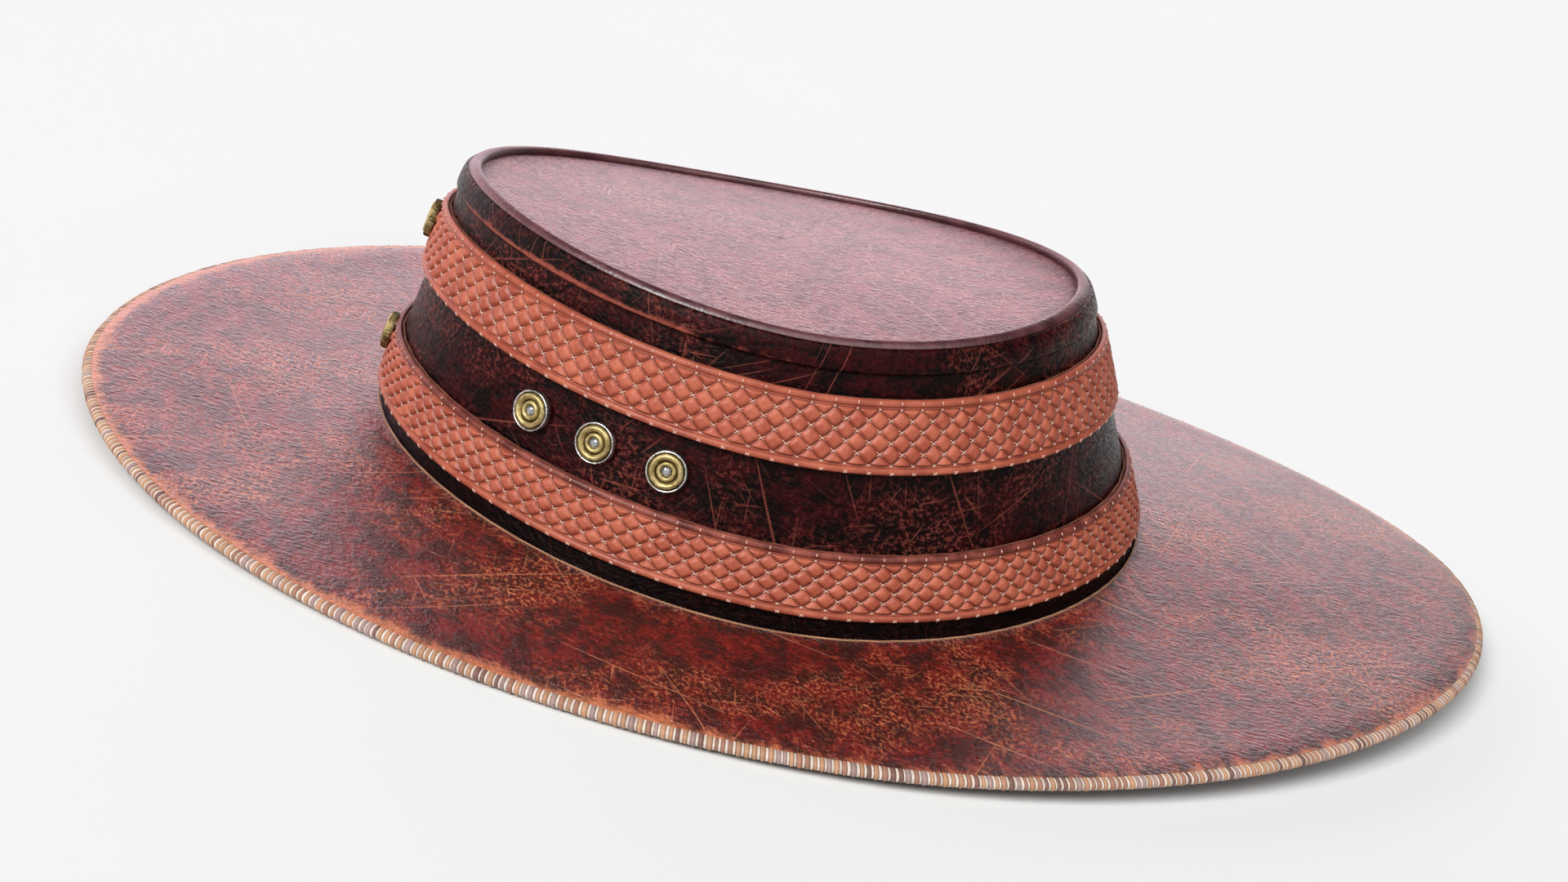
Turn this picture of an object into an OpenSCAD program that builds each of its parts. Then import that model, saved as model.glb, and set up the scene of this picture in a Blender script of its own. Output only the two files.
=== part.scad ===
// Wide-brimmed leather hat with a low oval crown, two quilted bands and five ring buttons.
// Origin: under the middle of the brim, on the surface that the brim's edge rests on. +Z is up,
// and +X runs along the hat, towards the end the crown leans away from.

/* [Crown] */
// Length of the crown at its foot
crown_len = 205.6; // [198:0.2:212]
// Width of the crown at its foot
crown_wid = 180; // [174:1:186]
// Height of the crown from its foot to the tip
crown_high = 61; // [59:0.5:66]
// How square the oval is; 2 is an ellipse
crown_square = 1.88; // [1.86:0.02:2.1]
// Inward slope of the two ends, per mm of height
taper_x = 0.356; // [0.3:0.01:0.4]
// Inward slope of the two long sides, per mm of height
taper_y = 0.242; // [0.2:0.01:0.3]

/* [Brim] */
// Length of the brim over its binding
brim_len = 384; // [372:1:396]
// Width of the brim over its binding
brim_wid = 298; // [290:1:308]
// How far the brim's edge lies below the crown's foot, on average
brim_drop = 0.6; // [0.5:0.1:3]
// How far the brim's edge curls up at its two ends and down at its sides
brim_curl = 1.6; // [1.2:0.1:2.4]
// Thickness of each of the brim's three layers
brim_layer = 1.2; // [1:0.1:1.4]

/* [Bands] */
// Height of the lower band's lower edge above the crown's foot
lower_lo = 5; // [4.5:0.1:5.5]
// Height of the lower band's upper edge
lower_hi = 18.9; // [18:0.1:19.5]
// Height of the upper band's lower edge
upper_lo = 35.9; // [35:0.1:36.5]
// Height of the upper band's upper edge
upper_hi = 51.5; // [50.5:0.1:52]
// Running gap between each band and the crown
band_gap = 0.4; // [0.35:0.05:0.5]

/* [Buttons] */
// Radius of a ring button
button_r = 5; // [4.6:0.1:5.2]
// Radius of a button's screw post
post_r = 1.2; // [1:0.1:1.4]

/* [Hidden] */

// Stations round the hat, and the angle between two of them
stations = 48;
step = 360 / stations;

// The crown stands off the brim's middle and leans towards -X
crown_pos = [-15.9, -4.5];
crown_lean = [-0.17, 0.016];
// Every level rises at both ends: the rise at the foot, and its growth per mm of height
crown_saddle = [2.8, 0.0214];
// The crown's levels tilt a little, and the tilt changes with height
tilt_x = [0.025, 0];
tilt_y = [0.015, -0.00106];

// Two layers that lie on each other keep this film of glue between them
layer_gap = 0.08;

// Layers of the crown wall, as offsets from its outer face
leather = 1.8;
stiffener_in = 2.5;
tape_out = 2.75;
tape_in = 3.15;
lining_out = 4.4;
lining_in = 4.7;
sweat_out = 4.9;
sweat_in = 5.9;
sweat_high = 24;
collar_lo = 56.4;
collar_out = 1;
piping_r = 1.7;
tip_thick = 1.6;

// Layers of a band, as offsets from the crown's outer face
backing_out = band_gap + 0.4;
padding_out = backing_out + 0.65;
face_out = padding_out + 0.65;
roll_r = 0.75;
roll_off = 1.6;

// The brim's binding wraps its three layers
binding_r = 2.2;
binding_half = 1.5 * brim_layer + 0.3;
brim_mid = -1.5 * brim_layer;
// The brim's outline is turned a little about the vertical and is a little fuller than pointed
brim_turn = 2.3;
brim_square = 1.89;
// The edge's highest places are turned from its ends, so the curl has a sine part too
brim_twist = -3.35;
edge_z = binding_half - brim_mid + norm([brim_curl, brim_twist]);
foot_z = edge_z + brim_drop;
// The brim sags a little between the crown and its edge
brim_sag = 0.2;
// Shares of the brim's width: the crown's turned-out foot ends at the second one, and the board
// runs from the third to the fifth
brim_shares = [0, 0.14, 0.15, 0.5, 0.965, 1];

// Places of the buttons: station angle and height above the crown's foot
button_level = (lower_hi + upper_lo) / 2;
button_angles = [226, 237, 248];
// The closing buttons sit in the middle of a flat between two stations
band_button_angle = 23.5 * step;
upper_button_level = upper_hi - 6;
lower_button_level = lower_hi - 4.4;
band_nut_r = 2.6;
band_nut_depth = 1.6;
// A post runs in its hole with this radial clearance
post_gap = 0.05;
head_gap = 0.5;
head_thick = 1.3;
nut_z = 3.45;
nut_thick = 0.7;

// A power that keeps the sign of its base
function spow(v, e) = sign(v) * pow(abs(v), e);

// Point of the crown at station angle a, height z over the foot and offset off from the outer
// face; r shrinks the whole level towards its middle
function crown_point(a, z, off = 0, r = 1) =
    let (
        x = r * (crown_len / 2 - taper_x * z + off) * spow(cos(a), 2 / crown_square),
        y = r * (crown_wid / 2 - taper_y * z + off) * spow(sin(a), 2 / crown_square),
        saddle = r * r * (crown_saddle[0] + crown_saddle[1] * z) * cos(2 * a),
        tilt = (tilt_x[0] + tilt_x[1] * z) * x + (tilt_y[0] + tilt_y[1] * z) * y
    )
    [
        x + crown_lean[0] * z + crown_pos[0],
        y + crown_lean[1] * z + crown_pos[1],
        foot_z + z + saddle + tilt
    ];

// Outward unit normal of the crown's side
function unit(v) = v / norm(v);
function crown_normal(a, z) = unit(cross(
    crown_point(a + 1, z) - crown_point(a - 1, z),
    crown_point(a, z + 1) - crown_point(a, z - 1)));

// How far the flat between two stations lies inside the true curve, in its middle
function flat_depth(a, z, off) = crown_normal(a, z) * (crown_point(a, z, off)
    - (crown_point(a - step / 2, z, off) + crown_point(a + step / 2, z, off)) / 2);

// Point of the brim's outline on its upper face, inset from the binding's outside
function edge_point(a, inset) =
    let (
        x = (brim_len / 2 - inset) * spow(cos(a), 2 / brim_square),
        y = (brim_wid / 2 - inset) * spow(sin(a), 2 / brim_square)
    )
    [
        x * cos(brim_turn) - y * sin(brim_turn),
        x * sin(brim_turn) + y * cos(brim_turn),
        edge_z + brim_curl * cos(2 * a) + brim_twist * sin(2 * a)
    ];

// Point of the brim: s runs from 0 at the crown's foot to 1 at the outline
function brim_point(a, s, h, inset = 0) =
    let (foot = crown_point(a, 0), edge = edge_point(a, inset))
    foot * (1 - s) + edge * s + [0, 0, h - brim_sag * sin(180 * s)];

// Two triangles over the four points p, q, r, s, split along the shorter diagonal, so that layers
// that share their corners also share their creases
function split_face(points, p, q, r, s) =
    norm(points[p] - points[r]) < norm(points[q] - points[s])
        ? [[p, q, r], [p, r, s]]
        : [[p, q, s], [q, r, s]];

// A closed ring: every station holds the same number of corners, in order round the section
module ring_solid(sections) {
    n = len(sections);
    m = len(sections[0]);
    points = [for (section = sections) each section];
    polyhedron(
        points = points,
        faces = [for (i = [0 : n - 1], j = [0 : m - 1]) each split_face(
            points,
            i * m + j,
            ((i + 1) % n) * m + j,
            ((i + 1) % n) * m + (j + 1) % m,
            i * m + (j + 1) % m
        )],
        convexity = 6);
}

// An open run of sections, closed by a flat end at each side
module ring_arc(sections) {
    n = len(sections);
    m = len(sections[0]);
    polyhedron(
        points = [for (section = sections) each section],
        faces = concat(
            [[for (j = [0 : m - 1]) j]],
            [[for (j = [m - 1 : -1 : 0]) (n - 1) * m + j]],
            [for (i = [0 : n - 2], j = [0 : m - 1]) [
                i * m + j, (i + 1) * m + j, (i + 1) * m + (j + 1) % m, i * m + (j + 1) % m]]),
        convexity = 4);
}

// A strip of the crown wall between two heights and two offsets, all the way round
module crown_wall(z_lo, z_hi, off_out, off_in) {
    ring_solid([for (i = [0 : stations - 1]) let (a = i * step) [
        crown_point(a, z_lo, off_in),
        crown_point(a, z_hi, off_in),
        crown_point(a, z_hi, off_out),
        crown_point(a, z_lo, off_out)
    ]]);
}

// A round cord that follows one level of the crown
module crown_cord(z, off, radius, sides = 6) {
    ring_solid([for (i = [0 : stations - 1]) let (a = i * step) [
        for (j = [0 : sides - 1]) let (t = -(j + 0.5) * 360 / sides)
            crown_point(a, z + radius * sin(t), off + radius * cos(t))
    ]]);
}

// A closed disc across one level of the crown, from its middle out to the offset off
module crown_disc(z_lo, z_hi, off) {
    rings = [0.34, 0.67, 1];
    count = len(rings);
    side = [for (z = [z_hi, z_lo], k = [0 : count - 1], i = [0 : stations - 1])
        crown_point(i * step, z, off, rings[k])];
    middle = [crown_point(0, z_hi, off, 0), crown_point(0, z_lo, off, 0)];
    last = len(side);
    half = count * stations;
    polyhedron(
        points = concat(side, middle),
        faces = concat(
            [for (i = [0 : stations - 1]) [last, (i + 1) % stations, i]],
            [for (i = [0 : stations - 1]) [last + 1, half + i, half + (i + 1) % stations]],
            [for (k = [0 : count - 2], i = [0 : stations - 1]) let (j = (i + 1) % stations) [
                k * stations + i, k * stations + j, (k + 1) * stations + j, (k + 1) * stations + i]],
            [for (k = [0 : count - 2], i = [0 : stations - 1]) let (j = (i + 1) % stations) [
                half + k * stations + i, half + (k + 1) * stations + i,
                half + (k + 1) * stations + j, half + k * stations + j]],
            [for (i = [0 : stations - 1]) let (j = (i + 1) % stations, o = (count - 1) * stations) [
                o + i, o + j, half + o + j, half + o + i]]),
        convexity = 4);
}

// Corner k of a brim layer at a depth; the first corner follows the crown's wall
function brim_corner(a, k, depth, wall_off) = k == 0
    ? crown_point(a, -depth, wall_off)
    : brim_point(a, brim_shares[k], -depth, binding_r);

// A layer of the brim between two depths, from corner first to corner last
module brim_sheet(depth_top, depth_bottom, first, last, wall_off = 0) {
    ring_solid([for (i = [0 : stations - 1]) let (a = i * step) concat(
        [for (k = [first : last]) brim_corner(a, k, depth_top, wall_off)],
        [for (k = [last : -1 : first]) brim_corner(a, k, depth_bottom, wall_off)])]);
}

// Moves its children to a place on the crown, with their +Z along the outward normal; sink moves
// them inwards
module on_crown(a, z, off = 0, sink = 0) {
    normal = crown_normal(a, z);
    translate(crown_point(a, z, off) - sink * normal)
        rotate([0, acos(normal[2]), atan2(normal[1], normal[0])])
            children();
}

// Moves its children to the flat on a band's face where its closing button sits
module on_band(z) {
    on_crown(band_button_angle, z, face_out, flat_depth(band_button_angle, z, face_out)) children();
}

// Straight holes for the posts of the three crown buttons
module crown_post_holes() {
    for (a = button_angles)
        on_crown(a, button_level)
            translate([0, 0, -6]) cylinder(r = post_r + post_gap, h = 12, $fn = 48);
}

// The ring button's metal head: two raised rings round a stone's seat, on a screw post
module button_head(post_len) {
    face_z = head_gap + head_thick;
    rotate_extrude($fn = 96) union() {
        translate([0, head_gap]) square([button_r - 0.3, head_thick]);
        translate([button_r - 0.75, face_z + 0.05]) circle(r = 0.75, $fn = 48);
        translate([button_r - 2.5, face_z + 0.2]) circle(r = 0.75, $fn = 48);
        translate([1.2, face_z - 0.1]) square([0.45, 0.75]);
        translate([0, -post_len]) square([post_r, post_len + head_gap]);
    }
}

// The bright stone in the button's middle, a low dome
module button_stone() {
    face_z = head_gap + head_thick;
    rotate_extrude($fn = 48) intersection() {
        translate([0, face_z]) square([1.15, 1.2]);
        translate([0, face_z - 0.3]) circle(r = 1.2, $fn = 48);
    }
}

// Round nut on a post, with its lower face at the depth given
module button_nut(depth, thick, radius) {
    translate([0, 0, -depth]) difference() {
        cylinder(r = radius, h = thick, $fn = 48);
        translate([0, 0, -1]) cylinder(r = post_r, h = thick + 2, $fn = 48);
    }
}

module crown_side() {
    color("#3b1216") difference() {
        crown_wall(-brim_layer, crown_high - piping_r, 0, -leather);
        crown_post_holes();
    }
}

module crown_tip() {
    color("#6b3038") crown_disc(crown_high - tip_thick, crown_high, -2 * piping_r - 0.15);
}

module crown_tip_piping() {
    color("#4a1a20") crown_cord(crown_high, -piping_r - 0.1, piping_r, 8);
}

module crown_cap_collar() {
    color("#3b1216") crown_wall(collar_lo, crown_high - 0.4, collar_out, layer_gap);
}

module crown_stiffener() {
    color("#cfc3a4") difference() {
        crown_wall(0, crown_high - 2.4, -leather - layer_gap, -stiffener_in);
        crown_post_holes();
    }
}

module tip_stiffener() {
    color("#cfc3a4")
        crown_disc(crown_high - tip_thick - 0.7, crown_high - tip_thick, -2 * piping_r - 0.15);
}

// A short tape over the seam that closes the crown, inside its +X end
module crown_seam_tape() {
    tape_top = crown_high - 5;
    color("#8d6a4a") ring_arc([for (k = [-1 : 1]) let (a = k * step) [
        crown_point(a, 2, -tape_in),
        crown_point(a, tape_top, -tape_in),
        crown_point(a, tape_top, -tape_out),
        crown_point(a, 2, -tape_out)
    ]]);
}

module crown_lining_side() {
    color("#7a1f24") crown_wall(1, crown_high - 3.4, -lining_out, -lining_in);
}

module crown_lining_tip() {
    color("#7a1f24") crown_disc(crown_high - 3.1, crown_high - 2.8, -lining_out);
}

module sweatband() {
    color("#9c6b43") crown_wall(-0.6, sweat_high, -sweat_out, -sweat_in);
}

module sweatband_reed() {
    color("#2b1a12") crown_cord(-1.4, -(sweat_out + sweat_in) / 2, 0.75);
}

// A small flat bow on the inside of the sweatband, at the crown's +X end
module sweatband_bow() {
    bow_level = 9;
    bow_thick = 1.2;
    bow_gap = 0.8;
    loop_r = 3;
    color("#2b1a12") on_crown(0, bow_level, -sweat_in) translate([0, 0, -bow_thick - bow_gap]) {
        cylinder(r = 1.6, h = bow_thick, $fn = 32);
        for (side = [-1, 1]) translate([0, side * 4.2, 0]) difference() {
            cylinder(r = loop_r, h = bow_thick, $fn = 32);
            translate([0, 0, -1]) cylinder(r = loop_r - 1.2, h = bow_thick + 2, $fn = 32);
        }
    }
}

// The crown's foot turns out between the brim's layers
module crown_foot_flange() {
    color("#3b1216") brim_sheet(brim_layer + layer_gap, 2 * brim_layer, 0, 1, -leather);
}

module crown_base_cord() {
    cord_r = 0.38;
    color("#b98a5a") crown_cord(cord_r + 0.07, cord_r + 0.12, cord_r);
}

module brim_top() {
    color("#5d1a1c") brim_sheet(0, brim_layer, 0, 5, layer_gap);
}

module brim_board() {
    color("#b9a888") brim_sheet(brim_layer + layer_gap, 2 * brim_layer, 2, 4);
}

// The lower leather starts at the inside of the crown's foot
module brim_underside() {
    color("#4c1a1a") brim_sheet(2 * brim_layer + layer_gap, 3 * brim_layer, 0, 5, -leather);
}

module brim_wire() {
    wire_r = 0.5;
    wire_inset = 3.4;
    color("silver") ring_solid([for (i = [0 : stations - 1]) let (a = i * step) [
        for (j = [0 : 5]) let (t = -(j + 0.5) * 60)
            brim_point(a, 1, brim_mid + wire_r * sin(t), wire_inset - wire_r * cos(t))
    ]]);
}

// Half-round binding over the outer ends of the brim's layers
module brim_binding() {
    color("#d9b78c") ring_solid([for (i = [0 : stations - 1]) let (a = i * step) [
        for (t = [90 : -30 : -90])
            brim_point(a, 1, brim_mid + binding_half * sin(t), binding_r * (1 - cos(t)))
    ]]);
}

// A band's parts, between its lower and upper edges
module band_face(z_lo, z_hi) {
    color("#c4664c")
        crown_wall(z_lo + 2 * roll_r, z_hi - 2 * roll_r, face_out, padding_out + layer_gap);
}

module band_padding(z_lo, z_hi) {
    color("#e8dcc4")
        crown_wall(z_lo + 2 * roll_r, z_hi - 2 * roll_r, padding_out, backing_out + layer_gap);
}

module band_backing(z_lo, z_hi) {
    color("#8a4a38") crown_wall(z_lo + 0.3, z_hi - 0.3, backing_out, band_gap);
}

module band_roll(z) {
    color("#b85a44") crown_cord(z, roll_off, roll_r);
}

// Hole through a band's layers for its own button's post or nut
module band_button_hole(z, radius) {
    on_band(z) translate([0, 0, -4]) cylinder(r = radius, h = 8, $fn = 48);
}

module upper_band_face() {
    difference() {
        band_face(upper_lo, upper_hi);
        band_button_hole(upper_button_level, post_r + post_gap);
    }
}
module upper_band_padding() {
    difference() {
        band_padding(upper_lo, upper_hi);
        band_button_hole(upper_button_level, post_r + post_gap);
    }
}
module upper_band_backing() {
    difference() {
        band_backing(upper_lo, upper_hi);
        band_button_hole(upper_button_level, band_nut_r + 0.4);
    }
}
module upper_band_top_roll() { band_roll(upper_hi - roll_r); }
module upper_band_bottom_roll() { band_roll(upper_lo + roll_r); }

module lower_band_face() {
    difference() {
        band_face(lower_lo, lower_hi);
        band_button_hole(lower_button_level, post_r + post_gap);
    }
}
module lower_band_padding() {
    difference() {
        band_padding(lower_lo, lower_hi);
        band_button_hole(lower_button_level, post_r + post_gap);
    }
}
module lower_band_backing() {
    difference() {
        band_backing(lower_lo, lower_hi);
        band_button_hole(lower_button_level, band_nut_r + 0.4);
    }
}
module lower_band_top_roll() { band_roll(lower_hi - roll_r); }
module lower_band_bottom_roll() { band_roll(lower_lo + roll_r); }

// One crown button, by its place in the row
module crown_button_head(k) {
    color("#8d7c45") on_crown(button_angles[k], button_level) button_head(nut_z);
}
module crown_button_stone(k) {
    color("#dfe3e6") on_crown(button_angles[k], button_level) button_stone();
}
module crown_button_nut(k) {
    color("#6f6f72") on_crown(button_angles[k], button_level)
        button_nut(nut_z, nut_thick, 3);
}
module left_button_head() { crown_button_head(0); }
module left_button_stone() { crown_button_stone(0); }
module left_button_nut() { crown_button_nut(0); }
module middle_button_head() { crown_button_head(1); }
module middle_button_stone() { crown_button_stone(1); }
module middle_button_nut() { crown_button_nut(1); }
module right_button_head() { crown_button_head(2); }
module right_button_stone() { crown_button_stone(2); }
module right_button_nut() { crown_button_nut(2); }

// The button that closes a band sits on the band's face, and its nut lies in the backing
module band_button_head(z) {
    color("#8d7c45") on_band(z) button_head(band_nut_depth);
}
module band_button_stone(z) {
    color("#dfe3e6") on_band(z) button_stone();
}
module band_button_nut(z) {
    color("#6f6f72") on_band(z) button_nut(band_nut_depth, 0.3, band_nut_r);
}
module upper_band_button_head() { band_button_head(upper_button_level); }
module upper_band_button_stone() { band_button_stone(upper_button_level); }
module upper_band_button_nut() { band_button_nut(upper_button_level); }
module lower_band_button_head() { band_button_head(lower_button_level); }
module lower_band_button_stone() { band_button_stone(lower_button_level); }
module lower_band_button_nut() { band_button_nut(lower_button_level); }

crown_side();
crown_tip();
crown_tip_piping();
crown_cap_collar();
crown_stiffener();
tip_stiffener();
crown_seam_tape();
crown_lining_side();
crown_lining_tip();
sweatband();
sweatband_reed();
sweatband_bow();
crown_foot_flange();
crown_base_cord();
brim_top();
brim_board();
brim_underside();
brim_wire();
brim_binding();
upper_band_face();
upper_band_padding();
upper_band_backing();
upper_band_top_roll();
upper_band_bottom_roll();
lower_band_face();
lower_band_padding();
lower_band_backing();
lower_band_top_roll();
lower_band_bottom_roll();
left_button_head();
left_button_stone();
left_button_nut();
middle_button_head();
middle_button_stone();
middle_button_nut();
right_button_head();
right_button_stone();
right_button_nut();
upper_band_button_head();
upper_band_button_stone();
upper_band_button_nut();
lower_band_button_head();
lower_band_button_stone();
lower_band_button_nut();
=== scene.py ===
"""Looks of a wide-brimmed leather hat: smooth leather, quilted bands, laced edge, ring buttons."""
import math

import bpy
import numpy as np
from mathutils import Matrix, Vector


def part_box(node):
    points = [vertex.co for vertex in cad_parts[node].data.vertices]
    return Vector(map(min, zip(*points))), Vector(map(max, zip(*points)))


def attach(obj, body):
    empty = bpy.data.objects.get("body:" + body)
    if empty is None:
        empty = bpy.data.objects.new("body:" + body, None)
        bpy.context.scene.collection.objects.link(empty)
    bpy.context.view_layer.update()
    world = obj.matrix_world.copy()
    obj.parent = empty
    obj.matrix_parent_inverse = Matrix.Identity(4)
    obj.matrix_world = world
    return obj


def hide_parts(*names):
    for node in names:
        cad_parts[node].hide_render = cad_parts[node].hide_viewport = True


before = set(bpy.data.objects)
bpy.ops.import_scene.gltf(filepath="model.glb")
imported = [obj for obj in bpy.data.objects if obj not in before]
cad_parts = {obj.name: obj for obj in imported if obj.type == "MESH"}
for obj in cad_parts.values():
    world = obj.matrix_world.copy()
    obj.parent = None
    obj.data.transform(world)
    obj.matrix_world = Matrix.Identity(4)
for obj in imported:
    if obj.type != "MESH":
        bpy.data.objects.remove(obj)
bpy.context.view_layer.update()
rng = np.random.default_rng(7)

MM = 0.001
TAU = 2 * math.pi

# ---------------------------------------------------------------- driving dimensions, in mm
# crown
crown_len = 205.6
crown_wid = 180.0
crown_high = 61.0
crown_square = 1.88
taper = (0.356, 0.242)
crown_pos = (-15.9, -4.5)
crown_lean = (-0.17, 0.016)
crown_saddle = (2.8, 0.0214)
tilt_x = 0.025
tilt_y = (0.015, -0.00106)
leather = 1.8
lining_off = 4.4
sweat_off = (4.9, 5.9)
sweat_high = 24.0
collar_lo = 56.4
piping_r = 1.7
tip_thick = 1.5

# brim
brim_len = 384.0
brim_wid = 298.0
brim_drop = 0.6
brim_curl = 1.6
brim_twist = -3.35
brim_turn = math.radians(2.3)
brim_square = 1.89
brim_layer = 1.2
brim_sag = 0.2
binding_r = 2.2
binding_half = 1.5 * brim_layer + 0.3
brim_mid = -1.5 * brim_layer
lace_half = 1.6
lace_mid = brim_mid - 0.45
edge_z = binding_half - brim_mid + math.hypot(brim_curl, brim_twist)
foot_z = edge_z + brim_drop

# bands
lower_band = (5.0, 18.9)
upper_band = (35.9, 51.5)
face_in = 1.5
face_out = 1.9
roll_r = 0.75
roll_off = 1.6
diamond = 5.5
quilt_rows = 2.5
quilt_welt = 0.045

# buttons
button_r = 5.0
button_angles = (226, 237, 248)
closing_angle = 176.25
upper_button_drop = 6.0
lower_button_drop = 4.4
post_r = 1.2
crown_post = 3.45
band_post = 1.6

# light: strengths of the surroundings, and of the glow behind the hat
surround = 0.05
behind = 2.3


# ---------------------------------------------------------------- the hat's one surface
def spow(v, e):
    return np.sign(v) * np.abs(v) ** e


def crown_point(a, z, off=0.0, r=1.0):
    """Point of the crown at angle a and height z over its foot, off mm outside its face."""
    a, z, off, r = np.broadcast_arrays(*(np.asarray(v, float) for v in (a, z, off, r)))
    x = r * (crown_len / 2 - taper[0] * z + off) * spow(np.cos(a), 2 / crown_square)
    y = r * (crown_wid / 2 - taper[1] * z + off) * spow(np.sin(a), 2 / crown_square)
    saddle = r * r * (crown_saddle[0] + crown_saddle[1] * z) * np.cos(2 * a)
    tilt = tilt_x * x + (tilt_y[0] + tilt_y[1] * z) * y
    return np.stack([x + crown_lean[0] * z + crown_pos[0],
                     y + crown_lean[1] * z + crown_pos[1],
                     foot_z + z + saddle + tilt], -1)


def crown_axes(a, z):
    """Unit vectors along the crown's level, up its side, and out of it."""
    d = 0.01
    along = crown_point(a + d, z) - crown_point(a - d, z)
    up = crown_point(a, z + 0.5) - crown_point(a, z - 0.5)
    along /= np.linalg.norm(along, axis=-1, keepdims=True)
    up /= np.linalg.norm(up, axis=-1, keepdims=True)
    out = np.cross(along, up)
    out /= np.linalg.norm(out, axis=-1, keepdims=True)
    return along, up, out


def edge_point(a, inset=0.0):
    x = (brim_len / 2 - inset) * spow(np.cos(a), 2 / brim_square)
    y = (brim_wid / 2 - inset) * spow(np.sin(a), 2 / brim_square)
    return np.stack([x * math.cos(brim_turn) - y * math.sin(brim_turn),
                     x * math.sin(brim_turn) + y * math.cos(brim_turn),
                     edge_z + brim_curl * np.cos(2 * a) + brim_twist * np.sin(2 * a)], -1)


def waver(a, s):
    """Soft unevenness of the brim's leather, none at the crown and at the edge."""
    wave = np.sin(3 * a + 1) + 0.7 * np.sin(7 * a + 9 * s) + 0.5 * np.sin(11 * a - 6 * s + 2)
    return 0.22 * wave * np.sin(math.pi * np.clip(s, 0, 1))


def brim_point(a, s, h=0.0, inset=0.0):
    """Point of the brim: s runs from 0 at the crown's foot to 1 at the outline."""
    a, s, h, inset = np.broadcast_arrays(*(np.asarray(v, float) for v in (a, s, h, inset)))
    foot = crown_point(a, 0)
    p = foot * (1 - s)[..., None] + edge_point(a, inset) * s[..., None]
    p[..., 2] += h - brim_sag * np.sin(math.pi * s) + waver(a, s)
    return p


def even_angles(count, z, off=0.0):
    """count angles that lie evenly along one level of the crown."""
    a = np.linspace(0, TAU, 4001)
    p = crown_point(a, z, off)
    length = np.r_[0, np.cumsum(np.linalg.norm(np.diff(p, axis=0), axis=1))]
    return np.interp(np.linspace(0, length[-1], count + 1)[:-1], length, a), length[-1]


# ---------------------------------------------------------------- mesh helpers
def mesh_piece(name, points, faces, material, sharp=None):
    """A mesh object from points in mm."""
    mesh = bpy.data.meshes.new(name)
    mesh.from_pydata((np.asarray(points, float) * MM).tolist(), [], faces)
    mesh.validate()
    mesh.update()
    mesh.shade_smooth()
    if sharp is not None:
        mesh.set_sharp_from_angle(angle=math.radians(sharp))
    obj = bpy.data.objects.new(name, mesh)
    bpy.context.scene.collection.objects.link(obj)
    for m in material if isinstance(material, (list, tuple)) else [material]:
        mesh.materials.append(m)
    return obj


def torus_faces(n, m):
    i, j = np.meshgrid(np.arange(n), np.arange(m), indexing="ij")
    i2, j2 = (i + 1) % n, (j + 1) % m
    return np.stack([i * m + j, i2 * m + j, i2 * m + j2, i * m + j2], -1).reshape(-1, 4)


def sheet_faces(n, m, round_n=True):
    i, j = np.meshgrid(np.arange(n if round_n else n - 1), np.arange(m - 1), indexing="ij")
    i2 = (i + 1) % n
    return np.stack([i * m + j, i2 * m + j, i2 * m + j + 1, i * m + j + 1], -1).reshape(-1, 4)


def ring_piece(name, sections, material, sharp=None):
    """A closed ring; sections has shape (stations, corners, 3), each section closed."""
    n, m, _ = sections.shape
    return mesh_piece(name, sections.reshape(-1, 3), torus_faces(n, m).tolist(), material, sharp)


def mark(obj, name, values):
    """Stores one number for each vertex, for the material to read."""
    layer = obj.data.attributes.new(name, "FLOAT", "POINT")
    layer.data.foreach_set("value", np.asarray(values, np.float32).ravel())


def lay_skin(obj, along, across):
    """Stores the leather's flat coordinates, in metres, for its grain and scratches."""
    flat = np.stack([along, across, np.zeros_like(along)], -1).reshape(-1, 3) * MM
    layer = obj.data.attributes.new("skin", "FLOAT_VECTOR", "POINT")
    layer.data.foreach_set("vector", flat.astype(np.float32).ravel())


def arc_length(a, z=30.0):
    """Length along one level of the crown up to each angle, from its +X end."""
    turn = np.linspace(0, TAU, 1441)
    p = crown_point(turn, z)
    length = np.r_[0, np.cumsum(np.linalg.norm(np.diff(p, axis=0), axis=1))]
    return np.interp(a, turn, length)


def joined(name, parts, material, sharp=None):
    """One piece from (points, faces) parts."""
    points, faces, base = [], [], 0
    for p, f in parts:
        points.append(p)
        faces.append(np.asarray(f) + base)
        base += len(p)
    faces = [row for block in faces for row in block.tolist()]
    return mesh_piece(name, np.concatenate(points), faces, material, sharp)


def tube(path, radius, sides):
    """Points and faces of a thread with round ends along a short path."""
    path = np.asarray(path, float)
    step = np.gradient(path, axis=0)
    step /= np.linalg.norm(step, axis=1, keepdims=True)
    side = np.cross(step, [0.0, 0.0, 1.0])
    side /= np.maximum(np.linalg.norm(side, axis=1, keepdims=True), 1e-9)
    up = np.cross(side, step)
    count = len(path)
    along = np.linspace(-1, 1, count)
    swell = np.sqrt(np.clip(1 - 0.85 * np.abs(along) ** 6, 0.05, 1)) * radius
    t = np.arange(sides) / sides * TAU
    ring = path[:, None] + swell[:, None, None] * (np.cos(t)[None, :, None] * side[:, None]
                                                   + np.sin(t)[None, :, None] * up[:, None])
    points = np.concatenate([ring.reshape(-1, 3), path[:1], path[-1:]])
    faces = []
    for i in range(count - 1):
        for j in range(sides):
            k = (j + 1) % sides
            faces.append([i * sides + j, i * sides + k, (i + 1) * sides + k, (i + 1) * sides + j])
    first, last, end = len(points) - 2, len(points) - 1, (count - 1) * sides
    for j in range(sides):
        k = (j + 1) % sides
        faces += [[first, k, j], [last, end + j, end + k]]
    return points, faces


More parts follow.
